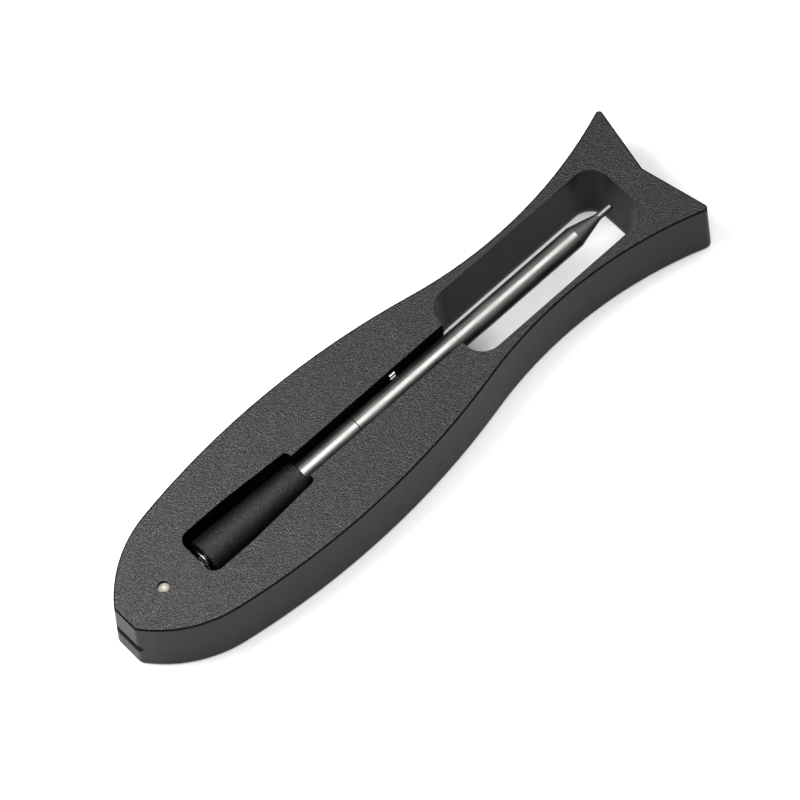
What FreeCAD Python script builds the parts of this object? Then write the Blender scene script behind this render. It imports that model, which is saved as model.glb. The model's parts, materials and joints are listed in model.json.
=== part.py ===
import FreeCAD, Part
import math
import os

# Wireless meat thermometer: a probe lying in a fish-shaped charging dock.
# Millimetres. While a piece is drawn, x runs from the dock's nose to its tail, y is zero on the
# centre line and z is zero on the table. save() moves the origin to the middle of the dock.

V = FreeCAD.Vector
EPS = 0.001
PAST = 1.0                           # how far a cut runs past the surface it opens

# ---- heights ----
FOOT_PROUD = 0.5                     # how far the rubber feet stand out of the underside
BODY_H = 17.4                        # underside of the dock to its top face
TOP = FOOT_PROUD + BODY_H            # top face
AXIS_Z = TOP - 4.9                   # axis of the probe

# ---- outline of the top face ----
BELLY_X = 55.22                      # widest place
BELLY_HALF = 18.94                   # half width there
BELLY_R = 202.64
HEAD_R = 31.5
HEAD_END_X = 19.87                   # where the head arc runs into the belly arc
WAIST_X = 124.74                     # narrowest place
WAIST_HALF = 11.18                   # half width there
NOTCH_X = 160.9                      # corner of the tail's notch on the centre line
TAIL_EDGE_DEG = 77.7                 # each tail edge, measured from the x axis
NOSE_R = 1.2                         # corner rounding at the flat nose
TIP_R = 0.9                          # rounding of the tail tips
NOTCH_R = 2.0
DRAFT_OUT = 0.85                     # how much the outline grows from top face to underside

# ---- shell ----
WALL = 1.8
SKIN_T = 0.25                        # textured panel
PANEL_EDGE_R = 0.12                  # rounding of the panel's outer edge
WALL_EDGE_R = 0.2                    # rounding of the side wall's top edge
RIM_W = 0.25                         # black rim round the panel, seen from above
RIM_H = 0.4                          # black rim, seen from the side
RIM_EDGE_R = 0.2
LIP_W = 0.65                         # width of the wall top that carries the rim
COVER_T = 1.05                       # plate of the top cover
COVER_BOTTOM = TOP - SKIN_T - COVER_T
BASE_FLANGE_T = 0.5                  # bottom cover, seen from outside
BASE_T = 1.1                         # bottom cover, seen inside the window
BASE_TOP = FOOT_PROUD + BASE_T
BASE_INSET = 0.08                    # the bottom cover stands back from the wall's foot
PLUG_COLLAR = 0.4                    # the plug's margin round the window tube

# ---- window near the tail: (first x, last x, half width, corner radius) ----
WINDOW_TOP = (100.65, 153.8, 9.6, 5.4)
WINDOW_BASE = (101.3, 152.3, 8.65, 5.0)
WINDOW_WALL = 0.8
WINDOW_GAP = 0.05                    # between the cover's plate and the window tube

# ---- pocket for the handle and channel for the stem ----
POCKET_X0 = 21.4
POCKET_TAPER_X = 34.3
POCKET_X1 = 53.5
POCKET_HALF0 = 6.13
POCKET_HALF1 = 5.0
POCKET_R0 = 2.6
POCKET_R1 = 1.3
POCKET_BEND_R = 30.0                 # where the taper begins
POCKET_FLOOR = AXIS_Z - 5.4
CHANNEL_X0 = POCKET_X1 - 2.0         # inside the pocket
CHANNEL_HALF = 3.3
CHANNEL_FLOOR = AXIS_Z - 3.3
TUB_WALL = 1.5
TUB_FLOOR = 1.1
SPOUT_X1 = 104.0                     # the channel's tub ends inside the window

# ---- probe ----
HANDLE_X0 = 23.45
HANDLE_X1 = 52.85
HANDLE_R0 = 5.0
HANDLE_R1 = 4.0
HANDLE_EDGE_R0 = 0.7
HANDLE_EDGE_R1 = 0.35
HANDLE_WALL_END = 1.4                # ceramic between the end face and the core
CAP_X0 = 22.75                       # steel cap that stands off the handle's end
CAP_T = 0.3
CAP_R = 3.5
CAP_EDGE_R = 0.12
CAP_NECK_R = 2.0
STEM_R = 2.75
STEM_BORE_R = 2.35
STEM_X0 = 43.0
CONE_X0 = 139.1
NEEDLE_X0 = 146.5
NEEDLE_X1 = 151.0
NEEDLE_R = 0.9
TIP_PLUG = 4.0                       # length of the tip inside the tube
TIP_BORE_R = 0.5
TIP_BORE_END = NEEDLE_X1 - 1.5
TIP_SENSOR_BACK = 3.0                # the sensor begins behind the needle's root
RING_LINE_X = 70.2                   # insertion mark on the stem, a V groove
RING_LINE_HALF = 0.14
RING_LINE_DEPTH = 0.2
CORE_R = 2.9                         # bore of the handle
CORE_X0 = HANDLE_X0 + 2.2            # where the sleeve in the bore begins
SLEEVE_BORE_R = 1.7
ANTENNA_X = (HANDLE_X0 + 6.0, STEM_X0 - 1.0)
ANTENNA_R = 0.9
AMBIENT_SENSOR_LENGTH = 2.2
AMBIENT_SENSOR_R = 0.8
SEAL_X = (HANDLE_X1 - 2.0, HANDLE_X1 - 0.25)
PROBE_BOARD = (48.0, 74.0, 1.9, 0.4)  # first x, last x, half width, half thickness
PROBE_CELL_X = (76.0, 96.0)
PROBE_CELL_R = 2.1

# ---- status light ----
LIGHT_X = 11.5
LIGHT_Y = -0.28
LIGHT_HOLE_R = 1.43
LIGHT_R = 1.08
LIGHT_SHIFT = (0.22, -0.14)          # the light pipe leans to one side of its hole
LIGHT_RECESS = 0.15                  # crown of the pipe's dome, below the top face
LIGHT_DOME_R = 1.5
LIGHT_COLLAR = 1.0                   # how far the collar reaches past the hole
LIGHT_COLLAR_T = 1.2
LIGHT_FOOT = 0.7                     # lower end of the pipe, above the board
LED = (0.8, 0.6, 0.6)                # half length, half width, height

# ---- charging port ----
PORT_Z = TOP - 10.35
PORT_HALF_W = 4.6
PORT_HALF_H = 1.62
SHELL_HALF_W = 4.4
SHELL_HALF_H = 1.5
SHELL_X0 = 1.1
SHELL_X1 = 8.4
SHELL_T = 0.3
PORT_BACK_T = 1.4                    # insulator at the back of the shell
TONGUE_SUNK = 0.8                    # from the shell's mouth
TONGUE_HALF_W = 3.35
TONGUE_HALF_T = 0.35

# ---- circuit board of the dock ----
BOARD_TOP = PORT_Z - SHELL_HALF_H
BOARD_T = 1.0
BOARD_X0 = 2.4
BOARD_X1 = 91.0
BOARD_HALF = 7.0
BOARD_UNDER = BOARD_TOP - BOARD_T

# ---- battery beside the pocket ----
CELL_X = (30.0, 62.0)
CELL_Y = (8.0, 14.9)
CELL_H = 8.8
CELL_EDGE_R = 1.2
PAD_T = 0.5
PAD_X_MARGIN = 2.0
PAD_Y_MARGIN = 0.8
LEAD_R = 0.42
LEAD_END_X = 70.0
LEAD_Y = (7.9, 8.9)

# ---- screws ----
COVER_SCREW_PLACES = ((14.0, 9.6), (88.0, 9.8), (156.9, 4.6))
BOARD_SCREW_PLACES = ((17.4, 4.9), (17.4, -4.9), (60.0, 0.0))
BOSS_R = 2.2
SCREW_R = 0.95
SCREW_HEAD_R = 1.9
SMALL_SCREW_R = 0.75
SMALL_BOSS_R = 1.7
SCREW_DEPTH = 5.5                    # into the boss
SMALL_SCREW_DEPTH = 1.8
HOLE_MARGIN = 0.5                    # below the end of a cover screw
SMALL_HOLE_MARGIN = 0.2
SMALL_HEAD_R = 1.5
SMALL_HEAD_H = 0.9
CROSS = 1.05                         # half length of the cross slot
SMALL_CROSS = 0.85
CROSS_ARM = 0.22                     # half width of the slot, as a share of its half length
CROSS_DEPTH = 0.6

# ---- feet ----
FOOT_PLACES = ((27.0, 12.4), (157.4, 11.6))
FOOT_R = 2.9
FOOT_SUNK = 0.5
FOOT_EDGE_R = 0.25

# ---- sprung contacts; heights here are measured from the top face ----
SHEET = 0.22                         # nickel-plated spring sheet
BEND_R = 0.06                        # rounding of the sheet's edges and bends
JOINT_GAP = 0.1                      # between a bracket and the finger that swings on it
STEM_CONTACT_X0 = 83.75
STEM_CONTACT_X1 = 85.35
SLOT_MARGIN = 0.25                   # free space at each side of a stem contact
SLOT_TOP = -2.1
STEM_RISER_Y = CHANNEL_HALF + 0.6    # inner face of the bracket's riser
FOLD_Y = 3.05                        # inner end of the bracket's sloping fold
FOLD_HIGH = -2.6                     # fold at the riser
FOLD_LOW = -2.9                      # fold at its inner end
HANG_Y = 3.2                         # inner face of the finger below the fold
LEDGE_HIGH = -4.03
LEDGE_LOW = -4.15
LEDGE_SLOPE = 0.7                    # height of the sheet's far face below the ledge, in sheets
CREST_Y = STEM_R + 0.12              # face that presses on the stem
CREST_LENGTH = 0.85
FINGER_END = -6.5
FINGER_FLARE = 0.23                  # the lower end leans away from the stem
END_CONTACT_HALF = 1.75
END_PLATE_X = POCKET_X0 + 0.1
END_PLATE_TOP = -1.4
END_EAR_TOP = -0.4                   # locating ear on the near side of the plate
END_EAR_ROOT = -2.4
END_EAR_Y = (-2.7, -1.5)
END_FOOT_X1 = CAP_X0 - 0.3
END_HINGE_X = POCKET_X0 + 0.45       # lower end of the finger
END_HINGE_HIGH = -9.8
END_CREST_X = CAP_X0 - 0.15          # face that presses on the cap
END_CREST = -6.4
END_LIP = -5.8
END_LIP_LEAN = 0.25                  # the lip leans away from the cap


# ---- small tools ----
def place(centre, radius, angle_deg):
    """Point on a circle."""
    angle = math.radians(angle_deg)
    return (centre[0] + radius * math.cos(angle), centre[1] + radius * math.sin(angle))


def bearing(start, end):
    """Angle in degrees of the direction from start to end."""
    return math.degrees(math.atan2(end[1] - start[1], end[0] - start[0]))


def near_angle(angle, other):
    """The same direction as angle, written within half a turn of other."""
    return other + (angle - other + 180.0) % 360.0 - 180.0


def box(x0, x1, y0, y1, z0, z1):
    return Part.makeBox(x1 - x0, y1 - y0, z1 - z0, V(x0, y0, z0))


def rod_x(x0, x1, radius, y=0.0, z=AXIS_Z):
    return Part.makeCylinder(radius, x1 - x0, V(x0, y, z), V(1, 0, 0))


def rod_z(x, y, z0, z1, radius):
    return Part.makeCylinder(radius, z1 - z0, V(x, y, z0), V(0, 0, 1))


def turned(points):
    """Solid of revolution about the probe's axis from (x, radius) points."""
    corners = [V(x, 0, AXIS_Z + radius) for x, radius in points]
    corners.append(corners[0])
    face = Part.Face(Part.makePolygon(corners))
    return face.revolve(V(0, 0, AXIS_Z), V(1, 0, 0), 360)


def joined(shapes):
    result = shapes[0]
    for shape in shapes[1:]:
        result = result.fuse(shape)
    return result.removeSplitter()


def group(shapes):
    """Several equal solids that are one node."""
    return Part.makeCompound(shapes)


def fillet_where(shape, radius, wanted):
    """Round the edges for which wanted(edge) is true."""
    edges = [edge for edge in shape.Edges if wanted(edge)]
    return shape.makeFillet(radius, edges)


def rounded_wire(corners, radii):
    """Closed flat wire through the corners, each rounded by its own radius; 0 keeps it sharp."""
    starts = []
    ends = []
    edges = []
    for index, corner in enumerate(corners):
        back = (corners[index - 1] - corner).normalize()
        ahead = (corners[(index + 1) % len(corners)] - corner).normalize()
        half = back.getAngle(ahead) / 2.0
        radius = radii[index]
        starts.append(corner + back * (radius / math.tan(half)))
        ends.append(corner + ahead * (radius / math.tan(half)))
        if radius > 0.0:
            middle = corner + (back + ahead).normalize() * (radius / math.sin(half) - radius)
            edges.append(Part.Arc(starts[-1], middle, ends[-1]).toShape())
    for index in range(len(corners)):
        edges.append(Part.makeLine(ends[index], starts[(index + 1) % len(corners)]))
    return Part.Wire(Part.__sortEdges__(edges))


def rounded_polygon(points, radii, z):
    """Level rounded wire through (x, y) points."""
    return rounded_wire([V(x, y, z) for x, y in points], radii)


def prism(wire, height):
    return Part.Face(wire).extrude(V(0, 0, height))


def tapered(lower, upper):
    """Solid with straight walls between two wires of the same make."""
    return Part.makeLoft([lower, upper], True, True)


# ---- outline of the dock ----
def half_outline(nose_r, tip_r):
    """Arcs of one side, nose to tail: (centre, radius, first angle, last angle, convex)."""
    belly = (BELLY_X, BELLY_HALF - BELLY_R)
    rise = math.sqrt(BELLY_R ** 2 - (HEAD_END_X - BELLY_X) ** 2)
    head_end = (HEAD_END_X, belly[1] + rise)
    head_end_deg = bearing(belly, head_end)
    head = place(head_end, -HEAD_R, head_end_deg)

    # The tail arc curves the other way and touches the belly arc.
    across = WAIST_X - BELLY_X
    above = WAIST_HALF - belly[1]
    tail_r = (across ** 2 + above ** 2 - BELLY_R ** 2) / (2.0 * (BELLY_R - above))
    tail = (WAIST_X, WAIST_HALF + tail_r)
    belly_end_deg = bearing(belly, tail)

    nose_y = head[1] + math.sqrt((HEAD_R - nose_r) ** 2 - (nose_r - head[0]) ** 2)
    nose = (nose_r, nose_y)

    # The tip's arc touches the tail arc and the straight tail edge.
    edge = place((0.0, 0.0), 1.0, TAIL_EDGE_DEG)
    inward = place((0.0, 0.0), 1.0, TAIL_EDGE_DEG + 90.0)
    start = (NOTCH_X + tip_r * inward[0] - tail[0], tip_r * inward[1] - tail[1])
    slope = start[0] * edge[0] + start[1] * edge[1]
    rest = start[0] ** 2 + start[1] ** 2 - (tail_r + tip_r) ** 2
    along = -slope - math.sqrt(slope ** 2 - rest)
    tip = (tail[0] + start[0] + along * edge[0], tail[1] + start[1] + along * edge[1])

    notch = (NOTCH_X + NOTCH_R / edge[1], 0.0)
    tail_start_deg = belly_end_deg + 180.0
    tail_end_deg = near_angle(bearing(tail, tip), tail_start_deg)
    return [
        (nose, nose_r, 180.0, bearing(head, nose), True),
        (head, HEAD_R, bearing(head, nose), head_end_deg, True),
        (belly, BELLY_R, head_end_deg, belly_end_deg, True),
        (tail, tail_r, tail_start_deg, tail_end_deg, False),
        (tip, tip_r, bearing(tip, tail), TAIL_EDGE_DEG - 90.0, True),
        (notch, NOTCH_R, TAIL_EDGE_DEG + 90.0, 180.0, False),
    ]


def outline(offset, z, nose_r=NOSE_R, tip_r=TIP_R):
    """Closed wire of the dock's outline, moved outward by offset."""
    upper = half_outline(nose_r, tip_r)
    lower = []
    for centre, radius, first, last, convex in reversed(upper):
        lower.append(((centre[0], -centre[1]), radius, -last, -first, convex))
    edges = []
    points = []
    for centre, radius, first, last, convex in upper + lower:
        moved = radius + offset if convex else radius - offset
        angles = (first, (first + last) / 2.0, last)
        start, middle, end = (V(*place(centre, moved, angle), z) for angle in angles)
        if points and (start - points[-1]).Length > EPS:
            edges.append(Part.makeLine(points[-1], start))
        edges.append(Part.Arc(start, middle, end).toShape())
        points += [start, end]
    edges.append(Part.makeLine(points[-1], points[0]))
    return Part.Wire(edges)


def growth(z):
    """Offset of the drafted outline at a height."""
    return DRAFT_OUT * (TOP - z) / BODY_H


def body_block(z0, z1, inset=0.0, **corners):
    """Drafted block with the dock's outline."""
    lower = outline(growth(z0) - inset, z0, **corners)
    upper = outline(growth(z1) - inset, z1, **corners)
    return tapered(lower, upper)


def hollow_corners():
    """Corner radii of the space inside the wall."""
    return {"nose_r": NOSE_R + WALL, "tip_r": TIP_R + WALL}


# ---- openings ----
def window_wire(z, extra=0.0):
    """Rounded rectangle of the window at a height, widened by extra."""
    share = (TOP - z) / BODY_H
    x0, x1, half, radius = (a + (b - a) * share for a, b in zip(WINDOW_TOP, WINDOW_BASE))
    corners = [(x0 - extra, -half - extra), (x1 + extra, -half - extra),
               (x1 + extra, half + extra), (x0 - extra, half + extra)]
    return rounded_polygon(corners, [radius + extra] * 4, z)


def window_block(z0, z1, extra=0.0):
    return tapered(window_wire(z0, extra), window_wire(z1, extra))


def pocket_block(z0, z1, extra=0.0):
    """Tapered pocket that holds the handle."""
    corners = [(POCKET_X0 - extra, -POCKET_HALF0 - extra), (POCKET_TAPER_X, -POCKET_HALF0 - extra),
               (POCKET_X1 + extra, -POCKET_HALF1 - extra), (POCKET_X1 + extra, POCKET_HALF1 + extra),
               (POCKET_TAPER_X, POCKET_HALF0 + extra), (POCKET_X0 - extra, POCKET_HALF0 + extra)]
    radii = [POCKET_R0 + extra, POCKET_BEND_R, POCKET_R1 + extra]
    return prism(rounded_polygon(corners, radii + radii[::-1], z0), z1 - z0)


def channel_block(z0, z1, extra=0.0, x1=WINDOW_TOP[0]):
    half = CHANNEL_HALF + extra
    return box(CHANNEL_X0, x1, -half, half, z0, z1)


def stadium_x(x0, x1, half_w, half_h, z):
    """Flat bar with half-round sides, along x."""
    straight = half_w - half_h
    return joined([
        box(x0, x1, -straight, straight, z - half_h, z + half_h),
        rod_x(x0, x1, half_h, straight, z),
        rod_x(x0, x1, half_h, -straight, z),
    ])


def mirrored_places(places):
    return [(x, side * y) for x, y in places for side in (1, -1)]


# ---- dock shell ----
def face_panel():
    """Textured sheet on the top face."""
    z0 = TOP - SKIN_T
    panel = prism(outline(-RIM_W, z0), SKIN_T)
    panel = fillet_where(panel, PANEL_EDGE_R, lambda edge: edge.BoundBox.ZMin > TOP - EPS)
    panel = panel.cut(pocket_block(z0, TOP))
    panel = panel.cut(channel_block(z0, TOP))
    panel = panel.cut(window_block(z0, TOP))
    return panel.cut(rod_z(LIGHT_X, LIGHT_Y, z0, TOP, LIGHT_HOLE_R))


def between(side, first, last, z0, z1):
    """Box as long as a stem contact's slot, on one side of the channel, from |y| first to last."""
    y0, y1 = sorted((side * first, side * last))
    return box(STEM_CONTACT_X0 - SLOT_MARGIN, STEM_CONTACT_X1 + SLOT_MARGIN, y0, y1, z0, z1)


def contact_slots():
    """Recesses in the channel walls for the sprung stem contacts, and holes for their feet."""
    clear = 0.1
    far = STEM_RISER_Y + SHEET + clear
    slots = []
    for side in (1, -1):
        slots.append(between(side, CHANNEL_HALF - clear, far, CHANNEL_FLOOR, TOP + SLOT_TOP))
        slots.append(between(side, STEM_RISER_Y - clear, far, BOARD_TOP, CHANNEL_FLOOR))
    return slots


def top_cover():
    """Black moulding: rim, plate, handle pocket, stem channel and screw bosses."""
    rim = prism(outline(0.0, TOP - RIM_H), RIM_H)
    rim = fillet_where(rim, RIM_EDGE_R, lambda edge: edge.BoundBox.ZMin > TOP - EPS)
    rim = rim.cut(prism(outline(-RIM_W, TOP - SKIN_T), SKIN_T))
    plate = prism(outline(-LIP_W, COVER_BOTTOM), COVER_T)
    pieces = [
        rim,
        plate,
        pocket_block(POCKET_FLOOR - TUB_FLOOR, COVER_BOTTOM + EPS, TUB_WALL),
        channel_block(CHANNEL_FLOOR - TUB_FLOOR, COVER_BOTTOM + EPS, TUB_WALL),
    ]
    for x, y in mirrored_places(COVER_SCREW_PLACES):
        pieces.append(rod_z(x, y, BASE_TOP, COVER_BOTTOM + EPS, BOSS_R))
    for x, y in BOARD_SCREW_PLACES:
        pieces.append(rod_z(x, y, BOARD_TOP, COVER_BOTTOM + EPS, SMALL_BOSS_R))
    cover = joined(pieces)

    cover = cover.cut(pocket_block(POCKET_FLOOR, TOP + PAST))
    cover = cover.cut(channel_block(CHANNEL_FLOOR, TOP + PAST, x1=WINDOW_TOP[0] + PAST))
    window = window_block(COVER_BOTTOM - PAST, TOP, WINDOW_WALL + WINDOW_GAP)
    spout = channel_block(0.0, COVER_BOTTOM, TUB_WALL)
    cover = cover.cut(window.cut(spout))
    cover = cover.cut(window_block(0.0, COVER_BOTTOM))
    cover = cover.cut(rod_z(LIGHT_X, LIGHT_Y, 0.0, TOP, LIGHT_HOLE_R))
    for x, y in mirrored_places(COVER_SCREW_PLACES):
        cover = cover.cut(rod_z(x, y, BASE_TOP, BASE_TOP + SCREW_DEPTH + HOLE_MARGIN, SCREW_R))
    for x, y in BOARD_SCREW_PLACES:
        hole_top = BOARD_TOP + SMALL_SCREW_DEPTH + SMALL_HOLE_MARGIN
        cover = cover.cut(rod_z(x, y, BOARD_TOP, hole_top, SMALL_SCREW_R))
    for slot in contact_slots():
        cover = cover.cut(slot)
    return cover


def housing():
    """Drafted side wall with the window tube and the port in the flat nose."""
    wall_foot = FOOT_PROUD + BASE_FLANGE_T
    wall_top = TOP - RIM_H
    outer = body_block(wall_foot, wall_top)
    outer = fillet_where(outer, WALL_EDGE_R, lambda edge: edge.BoundBox.ZMin > wall_top - EPS)
    hollow = body_block(wall_foot, wall_top, WALL, **hollow_corners())
    tube = window_block(BASE_TOP, wall_top, WINDOW_WALL)
    shell = outer.cut(hollow.cut(tube))
    shell = shell.cut(window_block(0.0, TOP))
    # The top cover's plate drops into the wall.
    shell = shell.cut(prism(outline(-LIP_W, COVER_BOTTOM), COVER_T).cut(
        window_block(COVER_BOTTOM, TOP, WINDOW_WALL)))
    # The stem channel breaks through the window tube.
    shell = shell.cut(channel_block(CHANNEL_FLOOR - TUB_FLOOR, TOP, TUB_WALL, x1=SPOUT_X1))
    # The bottom cover's plug fills the foot of the wall where the tube is thicker than the wall.
    shell = shell.cut(base_plug())
    return shell.cut(stadium_x(-PAST, WALL + PAST, PORT_HALF_W, PORT_HALF_H, PORT_Z))


def base_plug():
    """Upper step of the bottom cover, inside the wall."""
    z0 = FOOT_PROUD + BASE_FLANGE_T
    plug = body_block(z0, BASE_TOP, WALL, **hollow_corners())
    return plug.fuse(window_block(z0, BASE_TOP, WINDOW_WALL + PLUG_COLLAR))


def bottom_cover():
    """Black base plate with the window opening, foot recesses and screw holes."""
    z1 = FOOT_PROUD + BASE_FLANGE_T
    cover = joined([body_block(FOOT_PROUD, z1, BASE_INSET), base_plug()])
    cover = cover.cut(window_block(0.0, TOP))
    for x, y in mirrored_places(FOOT_PLACES):
        cover = cover.cut(rod_z(x, y, 0.0, FOOT_PROUD + FOOT_SUNK, FOOT_R))
    for x, y in mirrored_places(COVER_SCREW_PLACES):
        cover = cover.cut(rod_z(x, y, 0.0, BASE_TOP, SCREW_R))
        cover = cover.cut(screw_head(x, y))
    return cover


def screw_head(x, y):
    """Countersunk head, flush with the underside."""
    return Part.makeCone(SCREW_HEAD_R, SCREW_R, SCREW_HEAD_R - SCREW_R, V(x, y, FOOT_PROUD), V(0, 0, 1))


def cross_recess(x, y, z, size):
    """Cross slot in a screw head, open downward."""
    arm = size * CROSS_ARM
    top = z + size * CROSS_DEPTH
    return joined([
        box(x - size, x + size, y - arm, y + arm, z, top),
        box(x - arm, x + arm, y - size, y + size, z, top),
    ])


def cover_screws():
    screws = []
    for x, y in mirrored_places(COVER_SCREW_PLACES):
        screw = joined([screw_head(x, y), rod_z(x, y, FOOT_PROUD, BASE_TOP + SCREW_DEPTH, SCREW_R)])
        screws.append(screw.cut(cross_recess(x, y, FOOT_PROUD, CROSS)))
    return group(screws)


def board_screws():
    screws = []
    head_z = BOARD_UNDER - SMALL_HEAD_H
    for x, y in BOARD_SCREW_PLACES:
        screw = joined([rod_z(x, y, head_z, BOARD_UNDER, SMALL_HEAD_R),
                        rod_z(x, y, BOARD_UNDER, BOARD_TOP + SMALL_SCREW_DEPTH, SMALL_SCREW_R)])
        screws.append(screw.cut(cross_recess(x, y, head_z, SMALL_CROSS)))
    return group(screws)


def rubber_feet():
    feet = []
    for x, y in mirrored_places(FOOT_PLACES):
        foot = rod_z(x, y, 0.0, FOOT_PROUD + FOOT_SUNK, FOOT_R)
        feet.append(fillet_where(foot, FOOT_EDGE_R, lambda edge: edge.BoundBox.ZMax < EPS))
    return group(feet)


# ---- dock electronics ----
def port_shell():
    """Steel shell of the charging port, closed at the back."""
    shell = stadium_x(SHELL_X0, SHELL_X1, SHELL_HALF_W, SHELL_HALF_H, PORT_Z)
    inner = stadium_x(SHELL_X0, SHELL_X1 - SHELL_T, SHELL_HALF_W - SHELL_T, SHELL_HALF_H - SHELL_T,
                      PORT_Z)
    return shell.cut(inner)


def port_tongue():
    """Insulator with the contact tongue inside the port."""
    x1 = SHELL_X1 - SHELL_T
    back = stadium_x(x1 - PORT_BACK_T, x1, SHELL_HALF_W - SHELL_T, SHELL_HALF_H - SHELL_T, PORT_Z)
    tongue = box(SHELL_X0 + TONGUE_SUNK, x1, -TONGUE_HALF_W, TONGUE_HALF_W,
                 PORT_Z - TONGUE_HALF_T, PORT_Z + TONGUE_HALF_T)
    return joined([back, tongue])


def main_board():
    """Board with a narrow nose under the port and a tab for the battery leads."""
    nose_half = 3.1
    full_x = BOARD_X0 + 5.4
    wing_x0, wing_x1, wing_y = 64.0, 76.0, 9.4
    corners = [(BOARD_X0, -nose_half), (full_x, -BOARD_HALF), (BOARD_X1, -BOARD_HALF),
               (BOARD_X1, BOARD_HALF), (wing_x1, BOARD_HALF), (wing_x1, wing_y), (wing_x0, wing_y),
               (wing_x0, BOARD_HALF), (full_x, BOARD_HALF), (BOARD_X0, nose_half)]
    radii = [0.6, 1.0, 1.0, 1.0, 0.4, 0.6, 0.6, 0.4, 1.0, 0.6]
    board = prism(rounded_polygon(corners, radii, BOARD_UNDER), BOARD_T)
    for x, y in BOARD_SCREW_PLACES:
        board = board.cut(rod_z(x, y, BOARD_UNDER, BOARD_TOP, SMALL_SCREW_R))
    return board


def board_chips():
    """Charge controller and its neighbours, on the underside of the board."""
    # centre x, centre y, length, width, height
    sizes = ((30.0, 0.0, 5.0, 5.0, 0.9), (40.0, 2.5, 3.0, 2.0, 1.1), (40.0, -2.6, 3.0, 2.0, 1.1),
             (50.0, 0.0, 6.0, 4.0, 1.0), (72.0, 2.0, 4.0, 3.0, 0.9))
    return group([box(x - length / 2, x + length / 2, y - width / 2, y + width / 2,
                      BOARD_UNDER - height, BOARD_UNDER)
                  for x, y, length, width, height in sizes])


def status_led():
    x = LIGHT_X + LIGHT_SHIFT[0]
    y = LIGHT_Y + LIGHT_SHIFT[1]
    half_length, half_width, height = LED
    return box(x - half_length, x + half_length, y - half_width, y + half_width,
               BOARD_TOP, BOARD_TOP + height)


def light_pipe():
    """Milky rod from the board to the top face, with a domed end and a collar under the cover."""
    x = LIGHT_X + LIGHT_SHIFT[0]
    y = LIGHT_Y + LIGHT_SHIFT[1]
    crown = TOP - LIGHT_RECESS
    dome = Part.makeSphere(LIGHT_DOME_R, V(x, y, crown - LIGHT_DOME_R))
    shoulder = crown - LIGHT_DOME_R
    head = rod_z(x, y, shoulder, crown, LIGHT_R).common(dome)
    stem = rod_z(x, y, BOARD_TOP + LIGHT_FOOT, shoulder, LIGHT_R)
    collar = rod_z(x, y, COVER_BOTTOM - LIGHT_COLLAR_T, COVER_BOTTOM, LIGHT_HOLE_R + LIGHT_COLLAR)
    return joined([stem, head, collar])


def battery_cell():
    block = box(*CELL_X, *CELL_Y, BASE_TOP + PAD_T, BASE_TOP + PAD_T + CELL_H)
    return fillet_where(block, CELL_EDGE_R, lambda edge: edge.BoundBox.XLength > CELL_EDGE_R)


def battery_pad():
    return box(CELL_X[0] + PAD_X_MARGIN, CELL_X[1] - PAD_X_MARGIN, CELL_Y[0] + PAD_Y_MARGIN,
               CELL_Y[1] - PAD_Y_MARGIN, BASE_TOP, BASE_TOP + PAD_T)


def battery_leads():
    return group([rod_x(CELL_X[1], LEAD_END_X, LEAD_R, y, BOARD_TOP + LEAD_R) for y in LEAD_Y])


# ---- sprung contacts ----
def bent_sheet(corners, width, square=()):
    """Flat strip bent through the corners; the corners numbered in square stay sharp."""
    radii = [0.0 if index in square else BEND_R for index in range(len(corners))]
    return Part.Face(rounded_wire(corners, radii)).extrude(width)


def stem_sheet(side, points, square=()):
    """Strip as wide as a stem contact, from (y, height) points on one side of the channel."""
    corners = [V(STEM_CONTACT_X0, side * y, TOP + height) for y, height in points]
    return bent_sheet(corners, V(STEM_CONTACT_X1 - STEM_CONTACT_X0, 0, 0), square)


def stem_bracket(side):
    """Riser in the wall recess with a sloping fold at the top; its foot stands on the board."""
    inner = STEM_RISER_Y
    outer = STEM_RISER_Y + SHEET
    foot = BOARD_TOP - TOP
    return stem_sheet(side, [(inner, foot), (outer, foot), (outer, FOLD_HIGH), (FOLD_Y, FOLD_LOW),
                             (FOLD_Y, FOLD_LOW - SHEET), (inner, FOLD_HIGH - SHEET)], (0, 1))


def stem_brackets():
    return group([stem_bracket(side) for side in (1, -1)])


def stem_finger(side):
    """Finger that hangs below the fold of its bracket, steps inward and presses on the stem."""
    fold_under = FOLD_LOW - SHEET + (FOLD_HIGH - FOLD_LOW) * (HANG_Y - FOLD_Y) / (STEM_RISER_Y - FOLD_Y)
    top = fold_under - JOINT_GAP
    crest_end = LEDGE_LOW - CREST_LENGTH
    outer = CREST_Y + FINGER_FLARE
    under = SHEET * LEDGE_SLOPE
    return stem_sheet(side, [
        (HANG_Y, top),
        (HANG_Y, LEDGE_HIGH),
        (CREST_Y, LEDGE_LOW),
        (CREST_Y, crest_end),
        (outer, FINGER_END),
        (outer + SHEET, FINGER_END),
        (CREST_Y + SHEET, crest_end),
        (CREST_Y + SHEET, LEDGE_LOW - under),
        (HANG_Y + SHEET, LEDGE_HIGH - under),
        (HANG_Y + SHEET, top),
    ])


def end_bracket():
    """Plate on the pocket's end wall with a locating ear; its foot carries the finger."""
    x0 = END_PLATE_X
    x1 = END_PLATE_X + SHEET
    plate = box(x0, x1, -END_CONTACT_HALF, END_CONTACT_HALF, POCKET_FLOOR, TOP + END_PLATE_TOP)
    ear = box(x0, x1, *END_EAR_Y, TOP + END_EAR_ROOT, TOP + END_EAR_TOP)
    foot = box(x0, END_FOOT_X1, -END_CONTACT_HALF, END_CONTACT_HALF, POCKET_FLOOR,
               POCKET_FLOOR + SHEET)
    return joined([plate, ear, foot])


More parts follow.
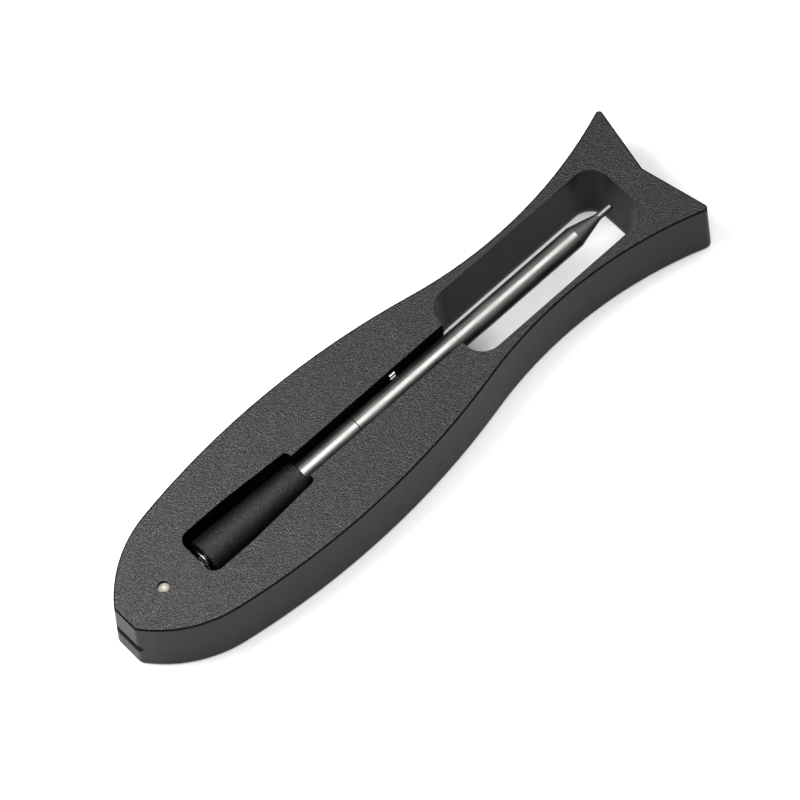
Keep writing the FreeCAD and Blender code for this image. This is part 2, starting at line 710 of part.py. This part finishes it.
def end_finger():
    """Finger that rises from the bracket's foot and presses on the handle's cap."""
    lip_x = END_CREST_X - END_LIP_LEAN
    points = [
        (END_HINGE_X, END_HINGE_HIGH),
        (END_HINGE_X + SHEET, END_HINGE_HIGH),
        (END_CREST_X, END_CREST),
        (lip_x, END_LIP),
        (lip_x - SHEET, END_LIP),
        (END_CREST_X - SHEET, END_CREST),
    ]
    corners = [V(x, -END_CONTACT_HALF, TOP + height) for x, height in points]
    return bent_sheet(corners, V(0, 2.0 * END_CONTACT_HALF, 0))


# ---- probe ----
def handle_body():
    """Black ceramic handle, hollow, thicker at its free end."""
    x0 = HANDLE_X0
    x1 = HANDLE_X1
    handle = turned([(x0, 0), (x0, HANDLE_R0), (x1, HANDLE_R1), (x1, 0)])
    handle = fillet_where(handle, HANDLE_EDGE_R0, lambda edge: edge.BoundBox.XMax < x0 + EPS)
    handle = fillet_where(handle, HANDLE_EDGE_R1, lambda edge: edge.BoundBox.XMin > x1 - EPS)
    handle = handle.cut(rod_x(x0 + HANDLE_WALL_END, x1, CORE_R))
    return handle.cut(rod_x(x0, x0 + HANDLE_WALL_END, CAP_NECK_R))


def end_cap():
    """Steel disc that meets the end contact, on a neck through the ceramic."""
    disc = rod_x(CAP_X0, CAP_X0 + CAP_T, CAP_R)
    disc = fillet_where(disc, CAP_EDGE_R, lambda edge: edge.BoundBox.XMax < CAP_X0 + EPS)
    return joined([disc, rod_x(CAP_X0 + CAP_T, CORE_X0, CAP_NECK_R)])


def insulating_sleeve():
    return rod_x(CORE_X0, STEM_X0, CORE_R).cut(rod_x(CORE_X0, STEM_X0, SLEEVE_BORE_R))


def antenna():
    return rod_x(*ANTENNA_X, ANTENNA_R)


def ambient_sensor():
    return rod_x(CORE_X0, CORE_X0 + AMBIENT_SENSOR_LENGTH, AMBIENT_SENSOR_R)


def handle_seal():
    """Ring that closes the handle round the stem."""
    return rod_x(*SEAL_X, CORE_R).cut(rod_x(*SEAL_X, STEM_R))


def stem_tube():
    """Stainless tube with a fine ring line."""
    tube = rod_x(STEM_X0, CONE_X0, STEM_R).cut(rod_x(STEM_X0, CONE_X0, STEM_BORE_R))
    groove = turned([(RING_LINE_X - RING_LINE_HALF, STEM_R + EPS), (RING_LINE_X, STEM_R - RING_LINE_DEPTH),
                     (RING_LINE_X + RING_LINE_HALF, STEM_R + EPS)])
    return tube.cut(groove)


def tip():
    """Cone and needle, plugged into the end of the tube."""
    plug_x = CONE_X0 - TIP_PLUG
    point = turned([(plug_x, 0), (plug_x, STEM_BORE_R), (CONE_X0, STEM_BORE_R),
                    (CONE_X0, STEM_R), (NEEDLE_X0, NEEDLE_R), (NEEDLE_X1, NEEDLE_R), (NEEDLE_X1, 0)])
    point = fillet_where(point, NEEDLE_R * 0.9, lambda edge: edge.BoundBox.XMin > NEEDLE_X1 - EPS)
    return point.cut(rod_x(plug_x, TIP_BORE_END, TIP_BORE_R))


def tip_sensor():
    return rod_x(NEEDLE_X0 - TIP_SENSOR_BACK, TIP_BORE_END, TIP_BORE_R)


def probe_board():
    x0, x1, half_width, half_t = PROBE_BOARD
    return box(x0, x1, -half_width, half_width, AXIS_Z - half_t, AXIS_Z + half_t)


def probe_cell():
    return rod_x(*PROBE_CELL_X, PROBE_CELL_R)


FOOT_OUTLINE = outline(growth(FOOT_PROUD + BASE_FLANGE_T), 0.0)
SHIFT_X = -FOOT_OUTLINE.BoundBox.Center.x


def save(name, shape):
    """Write one piece, with the origin under the middle of the dock."""
    moved = shape.copy()
    moved.translate(V(SHIFT_X, 0, 0))
    moved.exportStep("parts/" + name + ".step")


PIECES = {
    "face_panel": face_panel,
    "top_cover": top_cover,
    "housing": housing,
    "bottom_cover": bottom_cover,
    "cover_screws": cover_screws,
    "board_screws": board_screws,
    "rubber_feet": rubber_feet,
    "port_shell": port_shell,
    "port_tongue": port_tongue,
    "main_board": main_board,
    "board_chips": board_chips,
    "status_led": status_led,
    "light_pipe": light_pipe,
    "battery_cell": battery_cell,
    "battery_pad": battery_pad,
    "battery_leads": battery_leads,
    "stem_contact_brackets": stem_brackets,
    "stem_finger_far": lambda: stem_finger(1),
    "stem_finger_near": lambda: stem_finger(-1),
    "end_contact_bracket": end_bracket,
    "end_contact_finger": end_finger,
    "handle_body": handle_body,
    "end_cap": end_cap,
    "insulating_sleeve": insulating_sleeve,
    "antenna": antenna,
    "ambient_sensor": ambient_sensor,
    "handle_seal": handle_seal,
    "stem_tube": stem_tube,
    "tip": tip,
    "tip_sensor": tip_sensor,
    "probe_board": probe_board,
    "probe_cell": probe_cell,
}

os.makedirs("parts", exist_ok=True)
for piece_name, make_piece in PIECES.items():
    save(piece_name, make_piece())
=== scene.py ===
import json
import math

import bpy
from mathutils import Matrix, Vector


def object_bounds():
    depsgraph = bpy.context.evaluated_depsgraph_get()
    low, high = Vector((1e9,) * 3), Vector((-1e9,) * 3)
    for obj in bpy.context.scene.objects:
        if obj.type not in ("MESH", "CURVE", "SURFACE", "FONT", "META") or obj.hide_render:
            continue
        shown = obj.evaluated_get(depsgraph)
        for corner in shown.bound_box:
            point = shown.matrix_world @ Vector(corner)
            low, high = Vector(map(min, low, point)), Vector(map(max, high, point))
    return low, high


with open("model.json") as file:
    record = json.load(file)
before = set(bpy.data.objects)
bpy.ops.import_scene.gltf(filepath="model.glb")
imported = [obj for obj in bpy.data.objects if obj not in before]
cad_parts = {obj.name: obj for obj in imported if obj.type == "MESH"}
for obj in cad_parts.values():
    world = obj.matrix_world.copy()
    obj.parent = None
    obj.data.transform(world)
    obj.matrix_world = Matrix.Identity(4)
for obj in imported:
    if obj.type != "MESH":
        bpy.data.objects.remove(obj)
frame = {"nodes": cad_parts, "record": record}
CAD_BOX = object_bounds()

# Wireless meat thermometer in its fish-shaped charging dock: materials, light and camera.
# Metres throughout; the dock's nose points to -X and its far side is +Y.

MM = 0.001
NODES = frame["nodes"]

# ---- camera ----
AZIMUTH = -36.27
ELEVATION = 64.41
ROLL = -7.6
DISTANCE = 1.132
LENS_MM = 225.0
SENSOR_MM = 36.0
AIM_SHIFT = Vector((-1.72, -3.88, 0.0)) * MM     # from the middle of the top face

# ---- light ----
WORLD_STRENGTH = 0.32
CEILING_IRRADIANCE = 2.3             # broad even light from above
CEILING_ANGLE = 36.0                 # how wide it looks from the table, in degrees
CEILING_TILT = (4.0, 5.0)            # degrees toward the near side and toward the tail

# Each softbox faces down: (centre, height, size, radiance).
SOFTBOXES = {
    "main": ((-0.14, 0.15), 0.36, (0.2, 0.2), 14.5),
    "far_nose": ((-0.30, 0.30), 0.6, (0.3, 0.3), 3.0),
    "near_nose": ((-0.30, -0.30), 0.6, (0.3, 0.3), 5.5),
}

# ---- colours (linear) ----
# The first three colours paint the panel's light: painted shade in its pits and painted glints on its
# crests, the third one also faintly tinted.
CHARCOAL_PIT_SHADE = (0.001, 0.001, 0.001)
CHARCOAL_CREST_GLINT = (0.014, 0.0134, 0.014)
CHARCOAL_TINTED_CREST_GLINT = (0.019, 0.0122, 0.0172)
WALL_CHARCOAL = (0.016, 0.016, 0.0165)
BLACK = (0.002, 0.002, 0.002)
CERAMIC_BLACK = (0.003, 0.003, 0.003)
STEEL = (0.23, 0.226, 0.219)
PLATING = (0.17, 0.148, 0.138)
MILKY = (0.30, 0.288, 0.245)
SOLDER_MASK = (0.012, 0.10, 0.045)
SOLDER_MASK_OVER_COPPER = (0.022, 0.16, 0.07)
FLOOR_WHITE = (0.80, 0.80, 0.80)
FLOOR_BRIGHT = (0.82, 0.82, 0.82)

# ---- surface grain, in mm: how far apart its blotches are, and how deep it looks ----
PANEL_GRAIN, PANEL_GRAIN_DEPTH = 0.30, 0.2
PANEL_PORES, PANEL_PORE_DEPTH = 0.8, 0.05
PANEL_TINT = 38.0                                # broad patches of a faint purple tint
CERAMIC_TOOTH, CERAMIC_TOOTH_DEPTH = 0.28, 0.2

# ---- panel: where its noise turns from painted pit shade to painted crest glint, and how its crests are tinted ----
CREST_EDGE = (0.40, 0.62)
PIT_ROUGHNESS = 0.46
CREST_ROUGHNESS = 0.22
TINT_EDGE = (0.35, 0.65)
TINT_MOST = 0.8

# Most of a noise texture's values lie between these two.
NOISE_LOW = 0.3
NOISE_HIGH = 0.7

FLOOR_HALF = 4.0                                 # metres from the middle to an edge


# ---- node tools ----
def start_material(name):
    """A material with a Principled shader: (material, tree, shader)."""
    material = bpy.data.materials.new(name)
    material.use_nodes = True
    tree = material.node_tree
    tree.nodes.clear()
    output = tree.nodes.new("ShaderNodeOutputMaterial")
    shader = tree.nodes.new("ShaderNodeBsdfPrincipled")
    tree.links.new(shader.outputs["BSDF"], output.inputs["Surface"])
    return material, tree, shader


def object_coords(tree, stretch=(1.0, 1.0, 1.0)):
    """The object's own coordinates, in metres, stretched per axis."""
    coords = tree.nodes.new("ShaderNodeTexCoord")
    mapping = tree.nodes.new("ShaderNodeMapping")
    mapping.inputs["Scale"].default_value = stretch
    tree.links.new(coords.outputs["Object"], mapping.inputs["Vector"])
    return mapping.outputs["Vector"]


def noise(tree, vector, size_mm, detail=2.0, roughness=0.5):
    """Noise whose blotches are about size_mm across."""
    texture = tree.nodes.new("ShaderNodeTexNoise")
    texture.inputs["Scale"].default_value = 1.0 / (size_mm * MM)
    texture.inputs["Detail"].default_value = detail
    texture.inputs["Roughness"].default_value = roughness
    tree.links.new(vector, texture.inputs["Vector"])
    return texture.outputs["Fac"]


def remap(tree, value, low, high, to_low=0.0, to_high=1.0):
    """value from the range low..high to to_low..to_high, clamped."""
    node = tree.nodes.new("ShaderNodeMapRange")
    node.inputs["From Min"].default_value = low
    node.inputs["From Max"].default_value = high
    node.inputs["To Min"].default_value = to_low
    node.inputs["To Max"].default_value = to_high
    tree.links.new(value, node.inputs["Value"])
    return node.outputs["Result"]


def spread(tree, value, to_low=0.0, to_high=1.0):
    """A noise texture's value stretched to to_low..to_high."""
    return remap(tree, value, NOISE_LOW, NOISE_HIGH, to_low, to_high)


def blend_colours(tree, factor, first, second):
    """Mix of two colours; each is an RGB tuple or a colour output."""
    node = tree.nodes.new("ShaderNodeMix")
    node.data_type = "RGBA"
    tree.links.new(factor, node.inputs["Factor"])
    for socket, colour in (("A", first), ("B", second)):
        target = [s for s in node.inputs if s.name == socket and s.type == "RGBA"][0]
        if isinstance(colour, tuple):
            target.default_value = (*colour, 1.0)
        else:
            tree.links.new(colour, target)
    return [s for s in node.outputs if s.type == "RGBA"][0]


def add_bump(tree, shader, height, depth_mm):
    """Bump on the shader; a second call stacks on the first."""
    node = tree.nodes.new("ShaderNodeBump")
    node.inputs["Strength"].default_value = 1.0
    node.inputs["Distance"].default_value = depth_mm * MM
    tree.links.new(height, node.inputs["Height"])
    earlier = shader.inputs["Normal"].links
    if earlier:
        tree.links.new(earlier[0].from_socket, node.inputs["Normal"])
    tree.links.new(node.outputs["Normal"], shader.inputs["Normal"])


def scaled(colour, factor):
    """A colour made darker or lighter, kept within 1."""
    return tuple(min(1.0, channel * factor) for channel in colour)


# ---- materials ----
def plastic(name, colour, gloss, grain_mm=0.35, grain_depth=0.012, mottle=0.18, specular=0.5):
    """Moulded plastic: fine grain, faint mottling and uneven sheen. gloss is (low, high) roughness."""
    material, tree, shader = start_material(name)
    vector = object_coords(tree)
    broad = noise(tree, vector, 14.0, detail=3.0)
    fine = noise(tree, vector, grain_mm, detail=3.0, roughness=0.6)
    darker, lighter = scaled(colour, 1.0 - mottle), scaled(colour, 1.0 + mottle)
    tree.links.new(blend_colours(tree, spread(tree, broad), darker, lighter), shader.inputs["Base Color"])
    tree.links.new(spread(tree, fine, *gloss), shader.inputs["Roughness"])
    shader.inputs["Specular IOR Level"].default_value = specular
    add_bump(tree, shader, fine, grain_depth)
    return material


def textured_panel(name):
    """Eroded mould texture: painted shade darkens the pits and painted glints lighten the crests, which
    are also shinier.
    """
    material, tree, shader = start_material(name)
    vector = object_coords(tree)
    grain = noise(tree, vector, PANEL_GRAIN, detail=1.0)
    pores = noise(tree, vector, PANEL_PORES, detail=1.0)
    broad = noise(tree, vector, PANEL_TINT)
    # Painted light: the pits get a dark colour as painted shade and the crests a light one as painted
    # glints, both following the bump's grain.
    pit_shade_to_crest_glint = remap(tree, grain, *CREST_EDGE)
    shade_and_glint = blend_colours(tree, pit_shade_to_crest_glint, CHARCOAL_PIT_SHADE, CHARCOAL_CREST_GLINT)
    tinted_shade_and_glint = blend_colours(tree, pit_shade_to_crest_glint, CHARCOAL_PIT_SHADE, CHARCOAL_TINTED_CREST_GLINT)
    tint = remap(tree, broad, *TINT_EDGE, to_high=TINT_MOST)
    tree.links.new(blend_colours(tree, tint, shade_and_glint, tinted_shade_and_glint), shader.inputs["Base Color"])
    tree.links.new(spread(tree, grain, PIT_ROUGHNESS, CREST_ROUGHNESS), shader.inputs["Roughness"])
    shader.inputs["Specular IOR Level"].default_value = 0.34
    add_bump(tree, shader, grain, PANEL_GRAIN_DEPTH)
    add_bump(tree, shader, pores, PANEL_PORE_DEPTH)
    return material


def brushed_metal(name, colour, roughness, along=(1.0, 1.0, 1.0), line_depth=0.004):
    """Metal with fine lines along the axis whose stretch is small, and faint handling smears."""
    material, tree, shader = start_material(name)
    lines = noise(tree, object_coords(tree, along), 0.12, roughness=0.65)
    smears = noise(tree, object_coords(tree), 9.0, detail=4.0, roughness=0.6)
    tone = remap(tree, lines, 0.25, 0.75)
    tree.links.new(blend_colours(tree, tone, scaled(colour, 0.9), scaled(colour, 1.06)),
                   shader.inputs["Base Color"])
    uneven = remap(tree, smears, 0.3, 0.75, roughness * 0.85, roughness * 1.3)
    tree.links.new(uneven, shader.inputs["Roughness"])
    shader.inputs["Metallic"].default_value = 1.0
    add_bump(tree, shader, lines, line_depth)
    return material


def ceramic(name):
    """Unglazed black technical ceramic with a fine tooth and a broad soft highlight."""
    material, tree, shader = start_material(name)
    vector = object_coords(tree)
    tooth = noise(tree, vector, CERAMIC_TOOTH, detail=1.0)
    broad = noise(tree, vector, 8.0)
    darker, lighter = scaled(CERAMIC_BLACK, 0.7), scaled(CERAMIC_BLACK, 1.5)
    tree.links.new(blend_colours(tree, spread(tree, tooth), darker, lighter), shader.inputs["Base Color"])
    tree.links.new(spread(tree, broad, 0.32, 0.40), shader.inputs["Roughness"])
    shader.inputs["Specular IOR Level"].default_value = 0.26
    add_bump(tree, shader, tooth, CERAMIC_TOOTH_DEPTH)
    return material


def milky_plastic(name):
    """Translucent light pipe."""
    material, tree, shader = start_material(name)
    cloud = noise(tree, object_coords(tree), 1.6)
    tree.links.new(blend_colours(tree, spread(tree, cloud), scaled(MILKY, 0.93), MILKY),
                   shader.inputs["Base Color"])
    tree.links.new(spread(tree, cloud, 0.28, 0.38), shader.inputs["Roughness"])
    shader.inputs["Subsurface Weight"].default_value = 0.35
    shader.inputs["Subsurface Radius"].default_value = (0.9, 0.8, 0.55)
    shader.inputs["Subsurface Scale"].default_value = 0.6 * MM
    return material


def circuit_board(name):
    """Solder mask with faint copper tracks under it."""
    material, tree, shader = start_material(name)
    tracks = noise(tree, object_coords(tree, (0.25, 1.0, 1.0)), 1.2, detail=0.0)
    line = remap(tree, tracks, 0.49, 0.51)
    tree.links.new(blend_colours(tree, line, SOLDER_MASK, SOLDER_MASK_OVER_COPPER),
                   shader.inputs["Base Color"])
    tree.links.new(spread(tree, tracks, 0.25, 0.35), shader.inputs["Roughness"])
    add_bump(tree, shader, line, 0.02)
    return material


STEM_LINES = (0.02, 1.0, 1.0)        # stretch of lines that run along X

# One finished material for each slot of the record.
MATERIALS = {
    "panel_texture": textured_panel("panel_texture_look"),
    "black_moulding": plastic("black_moulding_look", BLACK, (0.5, 0.62), specular=0.02),
    "charcoal_satin": plastic("charcoal_satin_look", WALL_CHARCOAL, (0.33, 0.39),
                              grain_depth=0.005, mottle=0.05, specular=0.05),
    "base_black": plastic("base_black_look", BLACK, (0.45, 0.6), grain_mm=0.5, grain_depth=0.02),
    "screw_steel": brushed_metal("screw_steel_look", (0.45, 0.45, 0.46), 0.3),
    "foot_rubber": plastic("foot_rubber_look", (0.018, 0.018, 0.018), (0.7, 0.85),
                           grain_mm=0.6, grain_depth=0.03, specular=0.3),
    "port_steel": brushed_metal("port_steel_look", (0.5, 0.5, 0.5), 0.28, along=STEM_LINES),
    "tongue_black": plastic("tongue_black_look", BLACK, (0.3, 0.4)),
    "board_green": circuit_board("board_green_look"),
    "chip_black": plastic("chip_black_look", (0.012, 0.012, 0.013), (0.45, 0.6), grain_mm=0.2),
    "led_body": plastic("led_body_look", (0.8, 0.78, 0.55), (0.2, 0.3)),
    "light_milky": milky_plastic("light_milky_look"),
    "battery_wrap": brushed_metal("battery_wrap_look", (0.55, 0.57, 0.6), 0.35),
    "pad_foam": plastic("pad_foam_look", (0.03, 0.03, 0.03), (0.85, 0.95),
                        grain_mm=0.5, grain_depth=0.08),
    "lead_jacket": plastic("lead_jacket_look", (0.30, 0.02, 0.02), (0.4, 0.55)),
    "contact_plating": brushed_metal("contact_plating_look", PLATING, 0.2, along=STEM_LINES,
                                     line_depth=0.002),
    "handle_ceramic": ceramic("handle_ceramic_look"),
    "cap_steel": brushed_metal("cap_steel_look", (0.16, 0.16, 0.16), 0.22, line_depth=0.001),
    "sleeve_plastic": plastic("sleeve_plastic_look", (0.45, 0.36, 0.24), (0.4, 0.5)),
    "antenna_copper": brushed_metal("antenna_copper_look", (0.72, 0.4, 0.25), 0.3, along=STEM_LINES),
    "sensor_bead": plastic("sensor_bead_look", (0.22, 0.08, 0.05), (0.3, 0.4)),
    "seal_black": plastic("seal_black_look", (0.008, 0.008, 0.008), (0.5, 0.65)),
    "stem_steel": brushed_metal("stem_steel_look", STEEL, 0.36, along=STEM_LINES, line_depth=0.0008),
    "tip_steel": brushed_metal("tip_steel_look", STEEL, 0.42, along=STEM_LINES, line_depth=0.0008),
    "cell_steel": brushed_metal("cell_steel_look", (0.5, 0.5, 0.52), 0.3),
}


def dress_nodes():
    """Give every CAD node the finished material of its slot."""
    slots = {row["node"]: row["material_slot"] for row in frame["record"]["subparts"]}
    for name, node in NODES.items():
        node.data.materials.clear()
        node.data.materials.append(MATERIALS[slots[name]])


# ---- studio ----
def build_floor():
    """Plain white floor at the height the feet stand on."""
    corners = [(x * FLOOR_HALF, y * FLOOR_HALF, 0.0) for x, y in ((-1, -1), (1, -1), (1, 1), (-1, 1))]
    mesh = bpy.data.meshes.new("floor")
    mesh.from_pydata(corners, [], [(0, 1, 2, 3)])
    floor = bpy.data.objects.new("floor", mesh)
    bpy.context.scene.collection.objects.link(floor)
    material, tree, shader = start_material("floor_look")
    cloud = noise(tree, object_coords(tree), 400.0)
    tree.links.new(blend_colours(tree, cloud, FLOOR_WHITE, FLOOR_BRIGHT), shader.inputs["Base Color"])
    shader.inputs["Roughness"].default_value = 0.9
    shader.inputs["Specular IOR Level"].default_value = 0.1
    mesh.materials.append(material)


def build_light():
    """Even surroundings, a broad light from above and softboxes that face down."""
    world = bpy.data.worlds.new("studio")
    world.use_nodes = True
    background = world.node_tree.nodes["Background"]
    background.inputs["Color"].default_value = (1.0, 1.0, 1.0, 1.0)
    background.inputs["Strength"].default_value = WORLD_STRENGTH
    bpy.context.scene.world = world

    ceiling_data = bpy.data.lights.new("ceiling", "SUN")
    ceiling_data.energy = CEILING_IRRADIANCE
    ceiling_data.angle = math.radians(CEILING_ANGLE)
    ceiling = bpy.data.objects.new("ceiling", ceiling_data)
    near_tilt, tail_tilt = (math.radians(angle) for angle in CEILING_TILT)
    ceiling.rotation_euler = (near_tilt, tail_tilt, 0.0)
    bpy.context.scene.collection.objects.link(ceiling)

    for name, (centre, height, size, radiance) in SOFTBOXES.items():
        light = bpy.data.lights.new(name, "AREA")
        light.shape = "RECTANGLE"
        light.size, light.size_y = size
        light.energy = radiance * math.pi * size[0] * size[1]
        softbox = bpy.data.objects.new(name, light)
        softbox.location = (*centre, height)
        bpy.context.scene.collection.objects.link(softbox)


def build_camera():
    """Long lens above the nose's near side, rolled a little."""
    low, high = CAD_BOX
    target = Vector(((low.x + high.x) / 2, (low.y + high.y) / 2, high.z)) + AIM_SHIFT
    azimuth = math.radians(AZIMUTH)
    elevation = math.radians(ELEVATION)
    back = Vector((math.sin(azimuth) * math.cos(elevation), -math.cos(azimuth) * math.cos(elevation),
                   math.sin(elevation)))
    right = Vector((math.cos(azimuth), math.sin(azimuth), 0.0))
    turn = Matrix.Rotation(math.radians(ROLL), 3, back)
    right = turn @ right
    up = back.cross(right)
    camera_data = bpy.data.cameras.new("camera")
    camera_data.lens = LENS_MM
    camera_data.sensor_width = SENSOR_MM
    camera = bpy.data.objects.new("camera", camera_data)
    axes = Matrix((right, up, back)).transposed()
    camera.matrix_world = Matrix.Translation(target + back * DISTANCE) @ axes.to_4x4()
    bpy.context.scene.collection.objects.link(camera)
    bpy.context.scene.camera = camera


def set_view_transform():
    """Plain display transform, so that white stays white."""
    bpy.context.scene.view_settings.view_transform = "Standard"


dress_nodes()
build_floor()
build_light()
build_camera()
set_view_transform()
